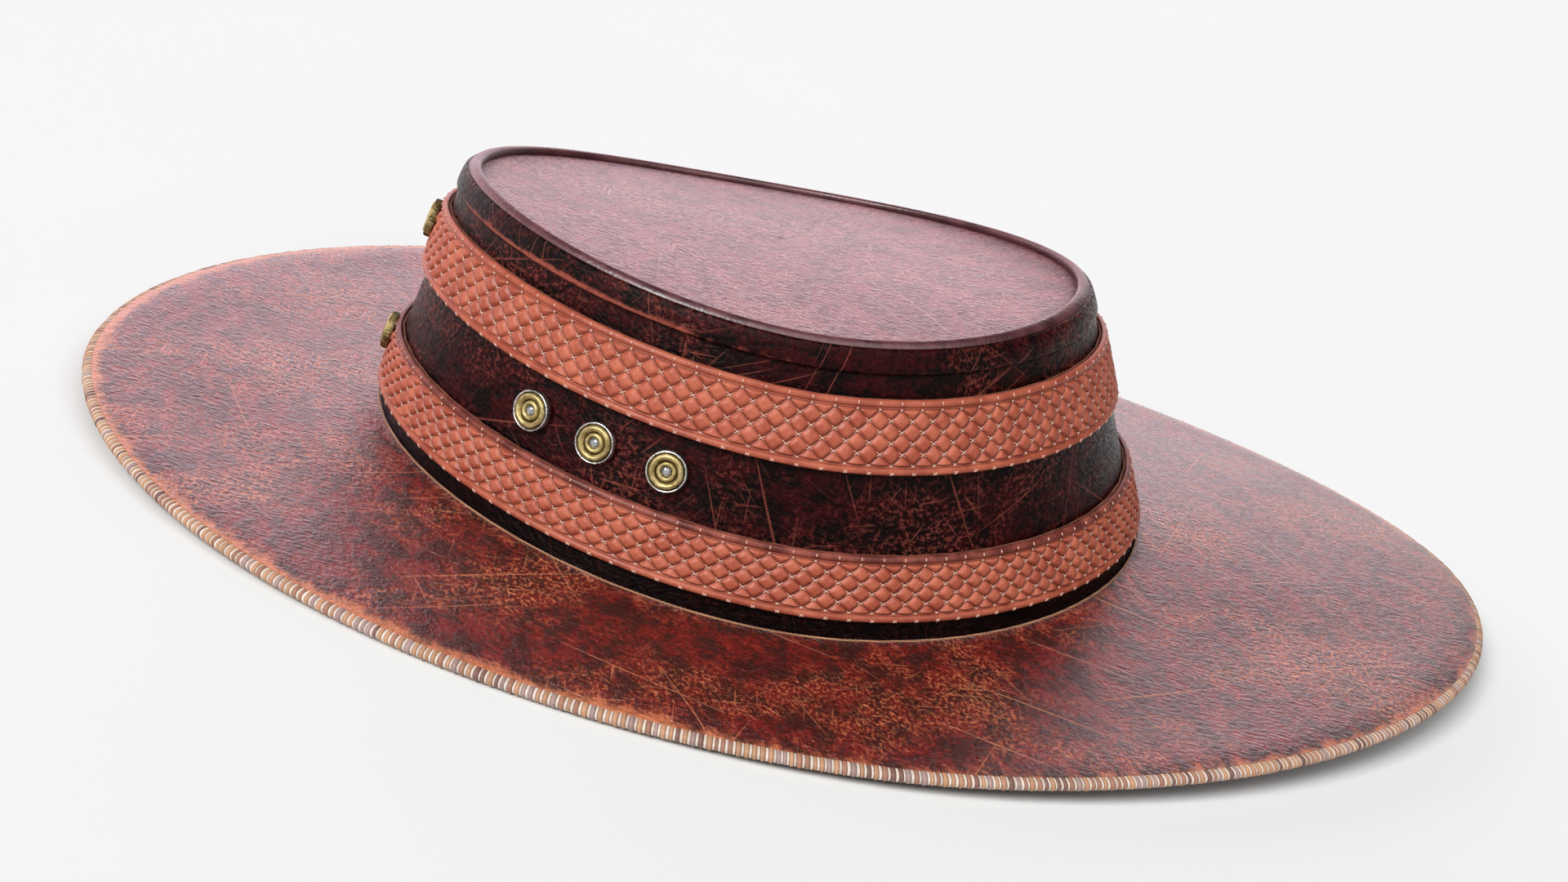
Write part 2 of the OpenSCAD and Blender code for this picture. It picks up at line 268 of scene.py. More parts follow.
def tubes_piece(name, tubes, material):
    """One piece from many short tubes."""
    points, faces, base = [], [], 0
    for p, f in tubes:
        points.append(p)
        faces += [[v + base for v in g] for g in f]
        base += len(p)
    return mesh_piece(name, np.concatenate(points), faces, material)


# ---------------------------------------------------------------- material helpers
class Paint:
    """Builds one node material; every value given to a node may be a number or a socket."""

    def __init__(self, name):
        self.material = bpy.data.materials.new(name)
        self.material.use_nodes = True
        self.tree = self.material.node_tree
        self.tree.nodes.clear()
        self.out = self.tree.nodes.new("ShaderNodeOutputMaterial")
        self.coords = self.node("ShaderNodeTexCoord").outputs["Object"]

    def node(self, kind, inputs=None, **settings):
        n = self.tree.nodes.new(kind)
        for key, value in settings.items():
            setattr(n, key, value)
        for key, value in (inputs or {}).items():
            socket = n.inputs[key]
            if isinstance(value, bpy.types.NodeSocket):
                self.tree.links.new(value, socket)
            else:
                socket.default_value = value
        return n

    def noise(self, scale, detail, rough=0.6, vector=None):
        return self.node("ShaderNodeTexNoise", {
            "Vector": vector or self.coords, "Scale": scale, "Detail": detail,
            "Roughness": rough}).outputs["Fac"]

    def cells(self, scale):
        return self.node("ShaderNodeTexVoronoi", {
            "Vector": self.coords, "Scale": scale}).outputs["Distance"]

    def turned(self, turn=(0, 0, 0), scale=(1, 1, 1)):
        return self.node("ShaderNodeMapping", {
            "Vector": self.coords, "Rotation": turn, "Scale": scale}).outputs[0]

    def ramp(self, value, low, high, out_low=0.0, out_high=1.0):
        return self.node("ShaderNodeMapRange", {
            "Value": value, "From Min": low, "From Max": high,
            "To Min": out_low, "To Max": out_high}, interpolation_type="SMOOTHSTEP").outputs[0]

    def math(self, how, a, b=0.0, clamp=False):
        return self.node("ShaderNodeMath", {0: a, 1: b}, operation=how, use_clamp=clamp).outputs[0]

    def mix(self, factor, a, b, how="MIX"):
        n = self.node("ShaderNodeMix", data_type="RGBA", blend_type=how)
        for socket, value in ((n.inputs[0], factor), (n.inputs[6], a), (n.inputs[7], b)):
            if isinstance(value, bpy.types.NodeSocket):
                self.tree.links.new(value, socket)
            elif isinstance(value, (int, float)):
                socket.default_value = value
            else:
                socket.default_value = (*value, 1.0)
        return n.outputs[2]

    def attribute(self, name, what="Fac"):
        return self.node("ShaderNodeAttribute", attribute_name=name).outputs[what]

    def bump(self, height, distance, strength=1.0):
        return self.node("ShaderNodeBump", {
            "Height": height, "Distance": distance, "Strength": strength}).outputs[0]

    def finish(self, **inputs):
        shader = self.node("ShaderNodeBsdfPrincipled", inputs)
        self.tree.links.new(shader.outputs[0], self.out.inputs[0])
        return self.material

    def laid(self, turn, along, across, shift):
        """The skin's coordinates, turned, then stretched: along and across are repeats per metre."""
        return self.node("ShaderNodeMapping", {
            "Vector": self.attribute("skin", "Vector"), "Rotation": (0, 0, turn),
            "Scale": (1 / along, 1 / across, 1), "Location": (shift, -shift, 0)},
            vector_type="TEXTURE").outputs[0]

    def scratch(self, turn, along, across, cut, shift):
        """Thin straight marks that run one way; cut sets how few they are."""
        streak = self.noise(1.0, 0.0, 0.5, self.laid(turn, along, across, shift))
        return self.ramp(streak, cut, cut + 0.035)


# each row: direction in radians, repeats per metre along and across the marks, cut
LONG_SCRATCHES = ((0.35, 14, 1100, 0.785), (1.05, 13, 1200, 0.79),
                  (1.9, 16, 1050, 0.785), (2.6, 15, 1150, 0.79))
SHORT_SCRATCHES = ((0.1, 70, 1500, 0.75), (0.8, 80, 1700, 0.76),
                   (1.45, 75, 1400, 0.75), (2.25, 85, 1600, 0.76))
LONG_SHIFTS = (0.7, 1.9, 4.2, 6.5)
SHORT_SHIFTS = (5.3, 6.1, 7.8, 9.5)


def all_scratches(p, rows, shifts):
    """The strongest mark of every row."""
    lines = p.scratch(*rows[0], shifts[0])
    for row, shift in zip(rows[1:], shifts[1:]):
        lines = p.math("MAXIMUM", lines, p.scratch(*row, shift))
    return lines


def old_leather(name, deep, body, rub, speckle, scratches, rough, grain=1.0, specular=0.6,
                coat=0.0, fit=(1.0, 1.0)):
    """Worn aniline leather: mottled body, dark stains, rubbed dots, scratches and grain.

    fit scales the mottling along and across the skin; the pieces mark their own wear, and their dark,
    which is painted shade in creases and along rims.
    """
    p = Paint(name)
    wear, dark = p.attribute("wear"), p.attribute("dark")
    broad = p.noise(1.0, 4, 0.6, p.laid(0.4, 22, 30, 3.1))
    middle = p.noise(1.0, 8, 0.78, p.laid(0.15, 100 * fit[0], 140 * fit[1], 1.3))
    fine = p.noise(1.0, 3, 0.7, p.laid(0.1, 750 * fit[0], 950 * fit[1], 2.2))
    grit = p.noise(1.0, 2, 0.6, p.laid(-0.3, 420, 1000, 4.4))
    colour = p.mix(p.ramp(middle, 0.43, 0.57), deep, body)
    # rubbed dots, in clusters, and dark pits between them
    worn = p.ramp(p.math("ADD", broad, p.math("MULTIPLY", middle, 0.6)), 0.74, 0.98)
    dots = p.math("MULTIPLY", p.ramp(fine, 0.50, 0.60), p.math("ADD", worn, 0.04, clamp=True))
    colour = p.mix(p.math("MULTIPLY", dots, speckle), colour, rub)
    pits = p.ramp(fine, 0.48, 0.38)
    colour = p.mix(p.math("MULTIPLY", pits, 0.7), colour, tuple(0.4 * c for c in deep))
    # long scratches everywhere, short ones in patches
    hatch = all_scratches(p, SHORT_SCRATCHES, SHORT_SHIFTS)
    hatch = p.math("MULTIPLY", hatch, p.ramp(broad, 0.42, 0.6))
    lines = p.math("MAXIMUM", all_scratches(p, LONG_SCRATCHES, LONG_SHIFTS), hatch)
    colour = p.mix(p.math("MULTIPLY", lines, scratches), colour, rub)
    # worn edges, and painted shade where the piece marks it dark
    edge = p.math("ADD", wear, p.math("MULTIPLY", p.math("SUBTRACT", middle, 0.5), 1.6))
    edge = p.math("MULTIPLY", p.ramp(edge, 0.3, 0.75), p.ramp(wear, 0.0, 0.2))
    colour = p.mix(p.math("MULTIPLY", edge, 0.85), colour, rub)
    # painted shade: where marked dark, the colour goes to half the deep tone
    colour = p.mix(p.math("MULTIPLY", dark, 0.9), colour, tuple(0.5 * c for c in deep))
    colour = p.mix(p.ramp(grit, 0.5, 0.34, 0.0, 0.3), colour, tuple(0.3 * c for c in deep))
    # relief: pores, folds and grit, less the scratches' grooves
    height = p.math("ADD", p.math("MULTIPLY", fine, 0.5), p.math("MULTIPLY", middle, 0.8))
    height = p.math("ADD", height, p.math("MULTIPLY", grit, 0.9))
    height = p.math("SUBTRACT", height, p.math("MULTIPLY", lines, 0.12))
    normal = p.bump(height, 0.0006 * grain)
    return p.finish(**{
        "Base Color": colour, "Roughness": p.ramp(grit, 0.35, 0.65, rough - 0.1, rough + 0.16),
        "Normal": normal, "Specular IOR Level": specular, "Coat Weight": coat,
        "Coat Roughness": 0.22, "Coat IOR": 1.6, "Coat Normal": normal})


def plain_leather(name, low, high, rough, grain=900, depth=0.00012, valley=None,
                  specular=0.4, coat=0.0):
    """Finished leather with fine pores; valley is painted shade, laid where the piece marks its
    hollows.
    """
    p = Paint(name)
    tone = p.noise(grain / 8, 4, 0.6)
    colour = p.mix(p.ramp(tone, 0.35, 0.68), low, high)
    if valley is not None:
        # painted shade in the marked hollows
        colour = p.mix(p.attribute("valley"), colour, valley)
    pores = p.math("ADD", p.cells(grain), p.noise(grain * 0.7, 4))
    normal = p.bump(pores, depth, 0.7)
    return p.finish(**{
        "Base Color": colour, "Roughness": p.ramp(tone, 0.3, 0.7, rough - 0.06, rough + 0.08),
        "Normal": normal, "Specular IOR Level": specular, "Coat Weight": coat,
        "Coat Roughness": 0.25, "Coat Normal": normal})


def cloth(name, low, high, weave, rough=0.8, sheen=0.3):
    """Fine woven cloth: two crossed thread directions."""
    p = Paint(name)
    warp, weft = (p.node("ShaderNodeTexWave", {
        "Vector": p.turned((0, 0, 0.5)), "Scale": weave / 6, "Distortion": 0.6, "Detail": 1.0},
        bands_direction=way).outputs["Fac"] for way in "XZ")
    threads = p.math("MULTIPLY", warp, weft)
    tone = p.noise(90, 4)
    colour = p.mix(p.ramp(p.math("ADD", threads, tone), 0.3, 1.3), low, high)
    return p.finish(**{"Base Color": colour, "Roughness": rough, "Sheen Weight": sheen,
                       "Normal": p.bump(threads, 0.0001, 0.6)})


def metal(name, low, high, rough=0.3, metallic=1.0, cavity=None):
    """Aged metal with tarnish and fine scratches; cavity is the tarnish of marked hollows."""
    p = Paint(name)
    tone = p.noise(500, 4, 0.7)
    brush = p.noise(1500, 2, 0.6, p.turned(scale=(1, 1, 8)))
    colour = p.mix(p.ramp(tone, 0.35, 0.65), low, high)
    if cavity is not None:
        colour = p.mix(p.attribute("valley"), colour, cavity)
    return p.finish(**{"Base Color": colour, "Metallic": metallic,
                       "Roughness": p.ramp(tone, 0.3, 0.7, rough - 0.08, rough + 0.15),
                       "Normal": p.bump(p.math("ADD", tone, brush), 0.00008, 0.6)})


def lace_paint():
    """Thin leather lace; each turn holds its own colour, with fibres along it."""
    p = Paint("lace_turns")
    fibre = p.noise(2600, 3, 0.7)
    colour = p.mix(p.ramp(fibre, 0.3, 0.7, 0.0, 0.35), p.attribute("turn_colour", "Color"),
                   (0.25, 0.14, 0.1))
    # painted shade in the grooves between turns and over the lace's hidden inner side
    colour = p.mix(p.attribute("valley"), colour, (0.06, 0.025, 0.02))
    return p.finish(**{"Base Color": colour, "Roughness": 0.55, "Normal": p.bump(fibre, 0.00012, 0.6)})


def gem_paint():
    """A cut, foiled stone."""
    p = Paint("cut_stone")
    tone = p.noise(900, 2)
    colour = p.mix(tone, (0.18, 0.19, 0.21), (0.55, 0.57, 0.6))
    return p.finish(**{"Base Color": colour, "Metallic": 0.75,
                       "Roughness": p.ramp(tone, 0.3, 0.7, 0.04, 0.12), "Coat Weight": 0.6})


# ---------------------------------------------------------------- materials
# colours are linear; leathers take their deep or low tone, then body or high tone, then rub
brim_paint = old_leather(
    "oxblood_brim", (0.035, 0.001, 0.002), (0.21, 0.005, 0.005), (0.70, 0.22, 0.09),
    speckle=0.85, scratches=0.6, rough=0.24, specular=0.9, coat=0.6, fit=(1.5, 0.7))
crown_paint = old_leather(
    "oxblood_crown", (0.003, 0.0002, 0.0004), (0.032, 0.0012, 0.002), (0.36, 0.09, 0.06),
    speckle=0.4, scratches=0.35, rough=0.3, specular=0.1, grain=0.7)
tip_paint = old_leather(
    "mauve_tip", (0.10, 0.012, 0.02), (0.25, 0.04, 0.055), (0.62, 0.3, 0.22),
    speckle=0.4, scratches=0.5, rough=0.28, specular=0.9, coat=0.5, grain=1.8, fit=(1.1, 0.6))
under_paint = old_leather(
    "oxblood_under", (0.02, 0.004, 0.004), (0.07, 0.014, 0.012), (0.35, 0.14, 0.08),
    speckle=0.25, scratches=0.25, rough=0.5, specular=0.4, grain=0.6)
piping_paint = plain_leather("piping_leather", (0.05, 0.01, 0.013), (0.12, 0.028, 0.033),
                             rough=0.4, specular=0.9, coat=0.15)
# the quilt's valley colour is painted shade in its hollows and along its seams
quilt_paint = plain_leather("terracotta_quilt", (0.37, 0.075, 0.038), (0.52, 0.135, 0.072),
                            rough=0.42, grain=1300, depth=0.00010, valley=(0.05, 0.006, 0.004))
roll_paint = plain_leather("terracotta_roll", (0.32, 0.065, 0.034), (0.46, 0.115, 0.06),
                           rough=0.4, grain=1300, depth=0.00008)
dark_roll_paint = plain_leather("brown_roll", (0.11, 0.02, 0.014), (0.30, 0.07, 0.045),
                                rough=0.42, grain=1300, depth=0.00008)
sweat_paint = plain_leather("tan_sweatband", (0.23, 0.10, 0.045), (0.38, 0.19, 0.09),
                            rough=0.48, grain=700)
backing_paint = plain_leather("suede_backing", (0.12, 0.04, 0.025), (0.22, 0.08, 0.05),
                              rough=0.85, grain=1600)
thread_paint = cloth("peach_thread", (0.66, 0.33, 0.24), (0.86, 0.54, 0.42), weave=5200, rough=0.6)
cord_paint = cloth("tan_cord", (0.20, 0.07, 0.03), (0.55, 0.28, 0.13), weave=4200, rough=0.6)
lining_paint = cloth("satin_lining", (0.10, 0.012, 0.016), (0.24, 0.03, 0.035),
                     weave=2400, rough=0.42, sheen=0.6)
ribbon_paint = cloth("dark_ribbon", (0.015, 0.008, 0.006), (0.06, 0.03, 0.02), weave=1800, rough=0.6)
buckram_paint = cloth("buckram", (0.42, 0.38, 0.29), (0.66, 0.61, 0.5), weave=800)
tape_paint = cloth("seam_tape", (0.2, 0.1, 0.05), (0.4, 0.24, 0.14), weave=1200)
wadding_paint = cloth("wadding", (0.6, 0.55, 0.46), (0.85, 0.8, 0.72), weave=700)
brass_paint = metal("old_brass", (0.36, 0.27, 0.10), (0.68, 0.55, 0.26), rough=0.36,
                    metallic=0.85, cavity=(0.02, 0.015, 0.01))
dark_edge_paint = metal("dark_brass_edge", (0.10, 0.07, 0.03), (0.45, 0.35, 0.16), rough=0.5)
silver_paint = metal("reeded_silver", (0.5, 0.5, 0.5), (0.85, 0.86, 0.86), rough=0.2)
nut_paint = metal("steel_nut", (0.3, 0.3, 0.31), (0.55, 0.55, 0.56), rough=0.3)
wire_paint = metal("steel_wire", (0.35, 0.35, 0.36), (0.6, 0.6, 0.62), rough=0.3)
lace_material = lace_paint()
gem_material = gem_paint()

button_keys = ("left", "middle", "right", "upper_band", "lower_band")
inner_nodes = {"crown_stiffener": buckram_paint, "tip_stiffener": buckram_paint,
               "brim_board": buckram_paint, "crown_seam_tape": tape_paint,
               "crown_foot_flange": backing_paint, "brim_wire": wire_paint}
for band in ("upper_band", "lower_band"):
    inner_nodes[f"{band}_padding"] = wadding_paint
    inner_nodes[f"{band}_backing"] = backing_paint
for button in button_keys:
    inner_nodes[f"{button}_button_nut"] = nut_paint
# the CAD nodes that stay inside the hat keep their own shapes
for node, paint in inner_nodes.items():
    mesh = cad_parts[node].data
    mesh.materials.clear()
    mesh.materials.append(paint)



def assign(obj, body, slot, *nodes):
    """Puts a piece on its body, in place of the CAD nodes named; slot is not used."""
    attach(obj, body)
    for node in nodes:
        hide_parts(node)


# ---------------------------------------------------------------- crown
def crown_shell():
    """The crown's side: one leather wall, seamed and stitched at its +X end."""
    foot, brow = -1.2, 59.0
    a = np.linspace(0, TAU, 721)[:-1]
    outer = np.r_[np.linspace(foot, brow - 0.1, 62), brow + 0.3]
    inner = np.linspace(brow, foot, 12)
    z = np.r_[outer, inner]
    off = np.r_[np.zeros(len(outer)), np.full(len(inner), -leather)]
    off[len(outer) - 1] = -0.5
    A, Z = np.meshgrid(a, z, indexing="ij")
    off = np.broadcast_to(off, A.shape).copy()
    front = np.broadcast_to(np.arange(len(z)) < len(outer), A.shape)
    # the seam: a narrow groove with a low swell each side
    arc = np.abs(np.where(A > math.pi, A - TAU, A)) * crown_len / 2 * 0.9
    seam = -0.5 * np.exp(-(arc / 0.35) ** 2) + 0.3 * np.exp(-((arc - 1.6) / 1.1) ** 2)
    off[front] += seam[front]
    obj = ring_piece("crown_side_leather", crown_point(A, Z, off), crown_paint, 50)
    lay_skin(obj, arc_length(A), Z)
    mark(obj, "wear", np.where(front, 0.2 * np.exp(-((Z - 55) / 1.5) ** 2), 0))
    # painted shade: darker at the foot, under the lower band and in the crease with the brim
    mark(obj, "dark", np.where(front, np.exp(-((Z - 1.5) / 4.5) ** 2), 0))
    assign(obj, "hat", "crown_leather", "crown_side")

    pitch, stitch, from_seam, thread_r = 2.6, 1.7, 2.3, 0.2
    s = np.linspace(-1, 1, 5)
    stitches = []
    for z in np.arange(1.5, 55, pitch):
        if any(lo - 1 < z < hi + 1 for lo, hi in (lower_band, upper_band)):
            continue
        for side in (-1, 1):
            angle = np.full(5, side * from_seam / (crown_len / 2 * 0.86))
            level = np.linspace(z, z + stitch, 5)
            stitches.append(tube(crown_point(angle, level, 0.32 - 0.25 * s ** 2), thread_r, 6))
    obj = tubes_piece("crown_seam_stitches", stitches, cord_paint)
    assign(obj, "hat", "base_cord")


def tip_panel():
    """The flat tip: a little lower in its middle than at the piping."""
    a = np.linspace(0, TAU, 361)[:-1]
    r = np.r_[np.linspace(0.02, 0.93, 40), 0.96, 0.98, 0.995, 1.0]
    A, R = np.meshgrid(a, r, indexing="ij")
    reach = -2 * piping_r + 0.9
    X, Y = R * np.cos(A), R * np.sin(A)
    dent = -0.5 * (1 - R ** 2) + 0.18 * np.sin(5 * X + 2) * np.cos(4 * Y) * (1 - R ** 4)
    lip = -0.5 * np.clip((R - 0.95) / 0.05, 0, 1) ** 2
    top = crown_point(A, crown_high, reach, R)
    top[..., 2] += dent + lip
    under = crown_point(A[:, ::-1], crown_high - tip_thick, reach, R[:, ::-1])
    under[..., 2] += dent[:, ::-1]
    sections = np.concatenate([top, under], 1)
    n, m, _ = sections.shape
    faces = sheet_faces(n, m).tolist()
    middle = np.array([crown_point(0, z, reach, 0) for z in (crown_high, crown_high - tip_thick)])
    middle[:, 2] -= 0.5
    points = np.concatenate([sections.reshape(-1, 3), middle])
    faces += [[n * m, i * m, ((i + 1) % n) * m] for i in range(n)]
    faces += [[n * m + 1, ((i + 1) % n) * m + m - 1, i * m + m - 1] for i in range(n)]
    obj = mesh_piece("crown_tip_leather", points, faces, tip_paint, 50)
    lay_skin(obj, points[:, 0], points[:, 1])
    RR = np.concatenate([R, R[:, ::-1]], 1).ravel()
    mark(obj, "wear", np.r_[0.15 * np.exp(-((RR - 0.97) / 0.02) ** 2), 0, 0])
    # painted shade along the tip's rim, beside the raised piping
    mark(obj, "dark", np.r_[0.75 * np.clip((RR - 0.93) / 0.06, 0, 1), 0, 0])
    assign(obj, "hat", "tip_leather", "crown_tip")


def tip_piping():
    """The raised rim between the tip and the side."""
    a = np.linspace(0, TAU, 721)[:-1]
    t = np.linspace(0, TAU, 25)[:-1]
    A, T = np.meshgrid(a, -t, indexing="ij")
    ring = crown_point(A, crown_high + piping_r * np.sin(T), -piping_r - 0.1 + piping_r * np.cos(T))
    obj = ring_piece("crown_tip_rim", ring, piping_paint)
    assign(obj, "hat", "piping_leather", "crown_tip_piping")


def cap_collar():
    """Strip under the tip's rim, its lower edge turned under over a dark groove."""
    a = np.linspace(0, TAU, 721)[:-1]
    # distance out of the crown's face, and height over the collar's lower edge
    profile = np.array([[0.15, 0.05], [0.75, -0.1], [1.0, 0.35], [1.08, 1.0], [1.0, 2.2],
                        [0.92, 3.4], [0.7, 4.5], [0.3, 5.0], [-0.2, 5.1], [-0.2, 4.0], [0.05, 1.0]])
    A = np.broadcast_to(a[:, None], (len(a), len(profile)))
    off = np.broadcast_to(profile[:, 0], A.shape)
    z = collar_lo + np.broadcast_to(profile[:, 1], A.shape)
    obj = ring_piece("crown_cap_strip", crown_point(A, z, off), crown_paint)
    lay_skin(obj, arc_length(A), z)
    # the fold is rubbed, most of all over the buttons
    rubbed = np.exp(-((np.degrees(A) - 222) / 28) ** 2)
    mark(obj, "wear", (0.25 + 0.75 * rubbed) * np.exp(-((z - collar_lo - 0.5) / 0.7) ** 2))
    mark(obj, "dark", np.zeros(A.shape))
    assign(obj, "hat", "crown_leather", "crown_cap_collar")


def crown_lining():
    """Gathered satin lining of the side and the tip."""
    z = np.linspace(1, crown_high - 3.4, 40)
    A, Z = np.meshgrid(np.linspace(0, TAU, 1081)[:-1], np.r_[z, z[::-1]], indexing="ij")
    back = np.broadcast_to(np.arange(2 * len(z)) >= len(z), A.shape)
    fold = 0.10 * np.sin(90 * A + 3 * np.sin(5 * A)) + 0.06 * np.sin(37 * A + Z / 9)
    off = np.where(back, -lining_off, -lining_off - 0.22) + fold
    obj = ring_piece("lining_side", crown_point(A, Z, off), lining_paint, 60)
    assign(obj, "hat", "lining", "crown_lining_side")

    r = np.linspace(0.03, 1, 40)
    A, R = np.meshgrid(np.linspace(0, TAU, 541)[:-1], np.r_[r, r[::-1]], indexing="ij")
    back = np.broadcast_to(np.arange(2 * len(r)) >= len(r), A.shape)
    p = crown_point(A, crown_high - 3.0, -lining_off - 0.3, R)
    p[..., 2] += np.where(back, 0.12, -0.12) + 0.12 * np.sin(24 * A) * R * R * (1 - R) * 4
    obj = ring_piece("lining_tip", p, lining_paint, 60)
    assign(obj, "hat", "lining", "crown_lining_tip")


def sweatband():
    """Leather sweatband with its row of stitches and the reed along its lower edge."""
    inner, outer = -sweat_off[1], -sweat_off[0]
    foot = -0.6
    rise = np.arange(1, 13) / 12
    profile = np.array([(outer, foot), (inner, foot),
                        *zip(inner - 0.12 * np.sin(math.pi * rise), foot + (sweat_high + 0.4) * rise),
                        (outer - 0.5, sweat_high + 0.2), (outer, sweat_high - 0.2)])
    a = np.linspace(0, TAU, 721)[:-1]
    A = np.broadcast_to(a[:, None], (len(a), len(profile)))
    lip = 0.12 * np.sin(9 * A) * np.clip(profile[:, 1] / sweat_high, 0, 1) ** 2
    skin = crown_point(A, profile[:, 1][None] + lip, profile[:, 0][None])
    obj = ring_piece("sweatband_leather", skin, sweat_paint, 45)
    assign(obj, "hat", "sweat_leather", "sweatband")

    pitch, level, thread_r = 2.8, 1.3, 0.17
    angles, _ = even_angles(int(540 / pitch), 1.4, inner)
    s = np.linspace(-1, 1, 5)
    stitches = [tube(crown_point(at + 0.33 * s * TAU / len(angles), level,
                                 inner - 0.06 - (0.2 - 0.22 * s ** 2)), thread_r, 5) for at in angles]
    obj = tubes_piece("sweatband_stitches", stitches, thread_paint)
    assign(obj, "hat", "base_cord")

    reed_r = 0.75
    A, T = np.meshgrid(a, -np.linspace(0, TAU, 13)[:-1], indexing="ij")
    reed = crown_point(A, -1.4 + reed_r * np.sin(T), (inner + outer) / 2 + reed_r * np.cos(T))
    obj = ring_piece("sweatband_reed_cord", reed, ribbon_paint)
    assign(obj, "hat", "ribbon", "sweatband_reed")


def sweatband_bow():
    """A small flat bow at the back of the sweatband: two loops, two tails and a knot."""
    lo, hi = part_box("sweatband_bow")
    centre = np.array((lo + hi) / 2) / MM
    along, up, out = crown_axes(np.array(0.0), np.array(9.0))
    parts = []
    for side in (-1, 1):
        t = np.linspace(0, math.pi, 20)
        loop = centre + np.outer(side * 6.6 * np.sin(t), along) + np.outer(1.9 * np.sin(2 * t), up)
        loop = loop - np.outer(0.25 * np.sin(t), out)
        parts.append(ribbon(loop, out, 2.3, 0.28, up))
        s = np.linspace(0, 1, 8)
        tail = centre + np.outer(side * 4.6 * s, along) + np.outer(-2.6 * s ** 1.3, up) - out * 0.1
        parts.append(ribbon(tail, out, 1.9, 0.26, up))
    knot = centre + np.outer(np.linspace(-1.5, 1.5, 8), up) - out * 0.35
    parts.append(ribbon(knot, out, 2.0, 0.8, along))
    obj = joined("sweatband_bow_ribbon", parts, ribbon_paint, 50)
    assign(obj, "hat", "ribbon", "sweatband_bow")


def ribbon(path, thick_way, width, thick, width_way):
    """A flat strip along a path, as points and faces."""
    path = np.asarray(path, float)
    n = len(path)
    w = np.asarray(width_way, float)
    w = w / np.linalg.norm(w)
    t = np.asarray(thick_way, float)
    t = t / np.linalg.norm(t)
    corners = [(-1, -1), (0, -1.25), (1, -1), (1, 1), (0, 1.25), (-1, 1)]
    ring = np.stack([path + w * width / 2 * i + t * thick / 2 * j for i, j in corners], 1)
    m = len(corners)
    faces = [[i * m + j, i * m + (j + 1) % m, (i + 1) * m + (j + 1) % m, (i + 1) * m + j]
             for i in range(n - 1) for j in range(m)]
    base = n * m
    caps = [[0, 1, 4, 5], [1, 2, 3, 4], [base - 6, base - 1, base - 2, base - 5],
            [base - 5, base - 2, base - 3, base - 4]]
    return ring.reshape(-1, 3), faces + caps


# ---------------------------------------------------------------- brim
def brim_leathers():
    """The brim's upper and lower leather, each one closed shell."""
    a = np.linspace(0, TAU, 961)[:-1]
    s = np.linspace(0, 1, 80)
    S = np.r_[s, s[::-1]]
    A, SS = np.meshgrid(a, S, indexing="ij")
    lower = np.broadcast_to(np.arange(len(S)) >= len(s), A.shape)
    inset = binding_r
    run = np.linalg.norm(edge_point(A) - crown_point(A, 0), axis=-1)
    to_edge = (1 - SS) * run
    leathers = (("brim_top_leather", "brim_top", "brim_leather", brim_paint, 0.0, -brim_layer),
                ("brim_under_leather", "brim_underside", "underside_leather", under_paint,
                 -2 * brim_layer, -3 * brim_layer))
    for name, node, slot, paint, top, bottom in leathers:
        h = np.where(lower, bottom, top)
        if node == "brim_top":
            # a soft crease where the brim turns up into the crown
            h = h + np.where(lower, 0, 0.5 * np.exp(-(SS * run / 1.2) ** 2))
            # and a thinning towards the laced edge
            h = h - np.where(lower, 0, 0.7 * np.clip(1 - to_edge / 9, 0, 1) ** 2)
        p = brim_point(A, SS, h, inset)
        if node == "brim_underside":
            centre = crown_point(A, -2 * brim_layer, -leather)
            near = np.clip(1 - SS * run / 4.0, 0, 1)[..., None]
            p[..., :2] = p[..., :2] * (1 - near) + centre[..., :2] * near
        obj = ring_piece(name, p, paint, 60)
        lay_skin(obj, p[..., 0], p[..., 1])
        edge = np.clip(1.0 - to_edge / 7.5, 0, 1) ** 1.5
        uneven = 0.75 + 0.25 * np.sin(A - 0.6) + 0.12 * np.sin(5 * A)
        base = 0.3 * np.exp(-((SS * run - 2.5) / 1.5) ** 2)
        mark(obj, "wear", np.clip(edge * uneven + base, 0, 1))
        # painted shade in the crease at the crown's foot, on the top and on the underside
        mark(obj, "dark", 0.6 * np.exp(-((SS * run) / 1.5) ** 2))
        assign(obj, "hat", slot, node)


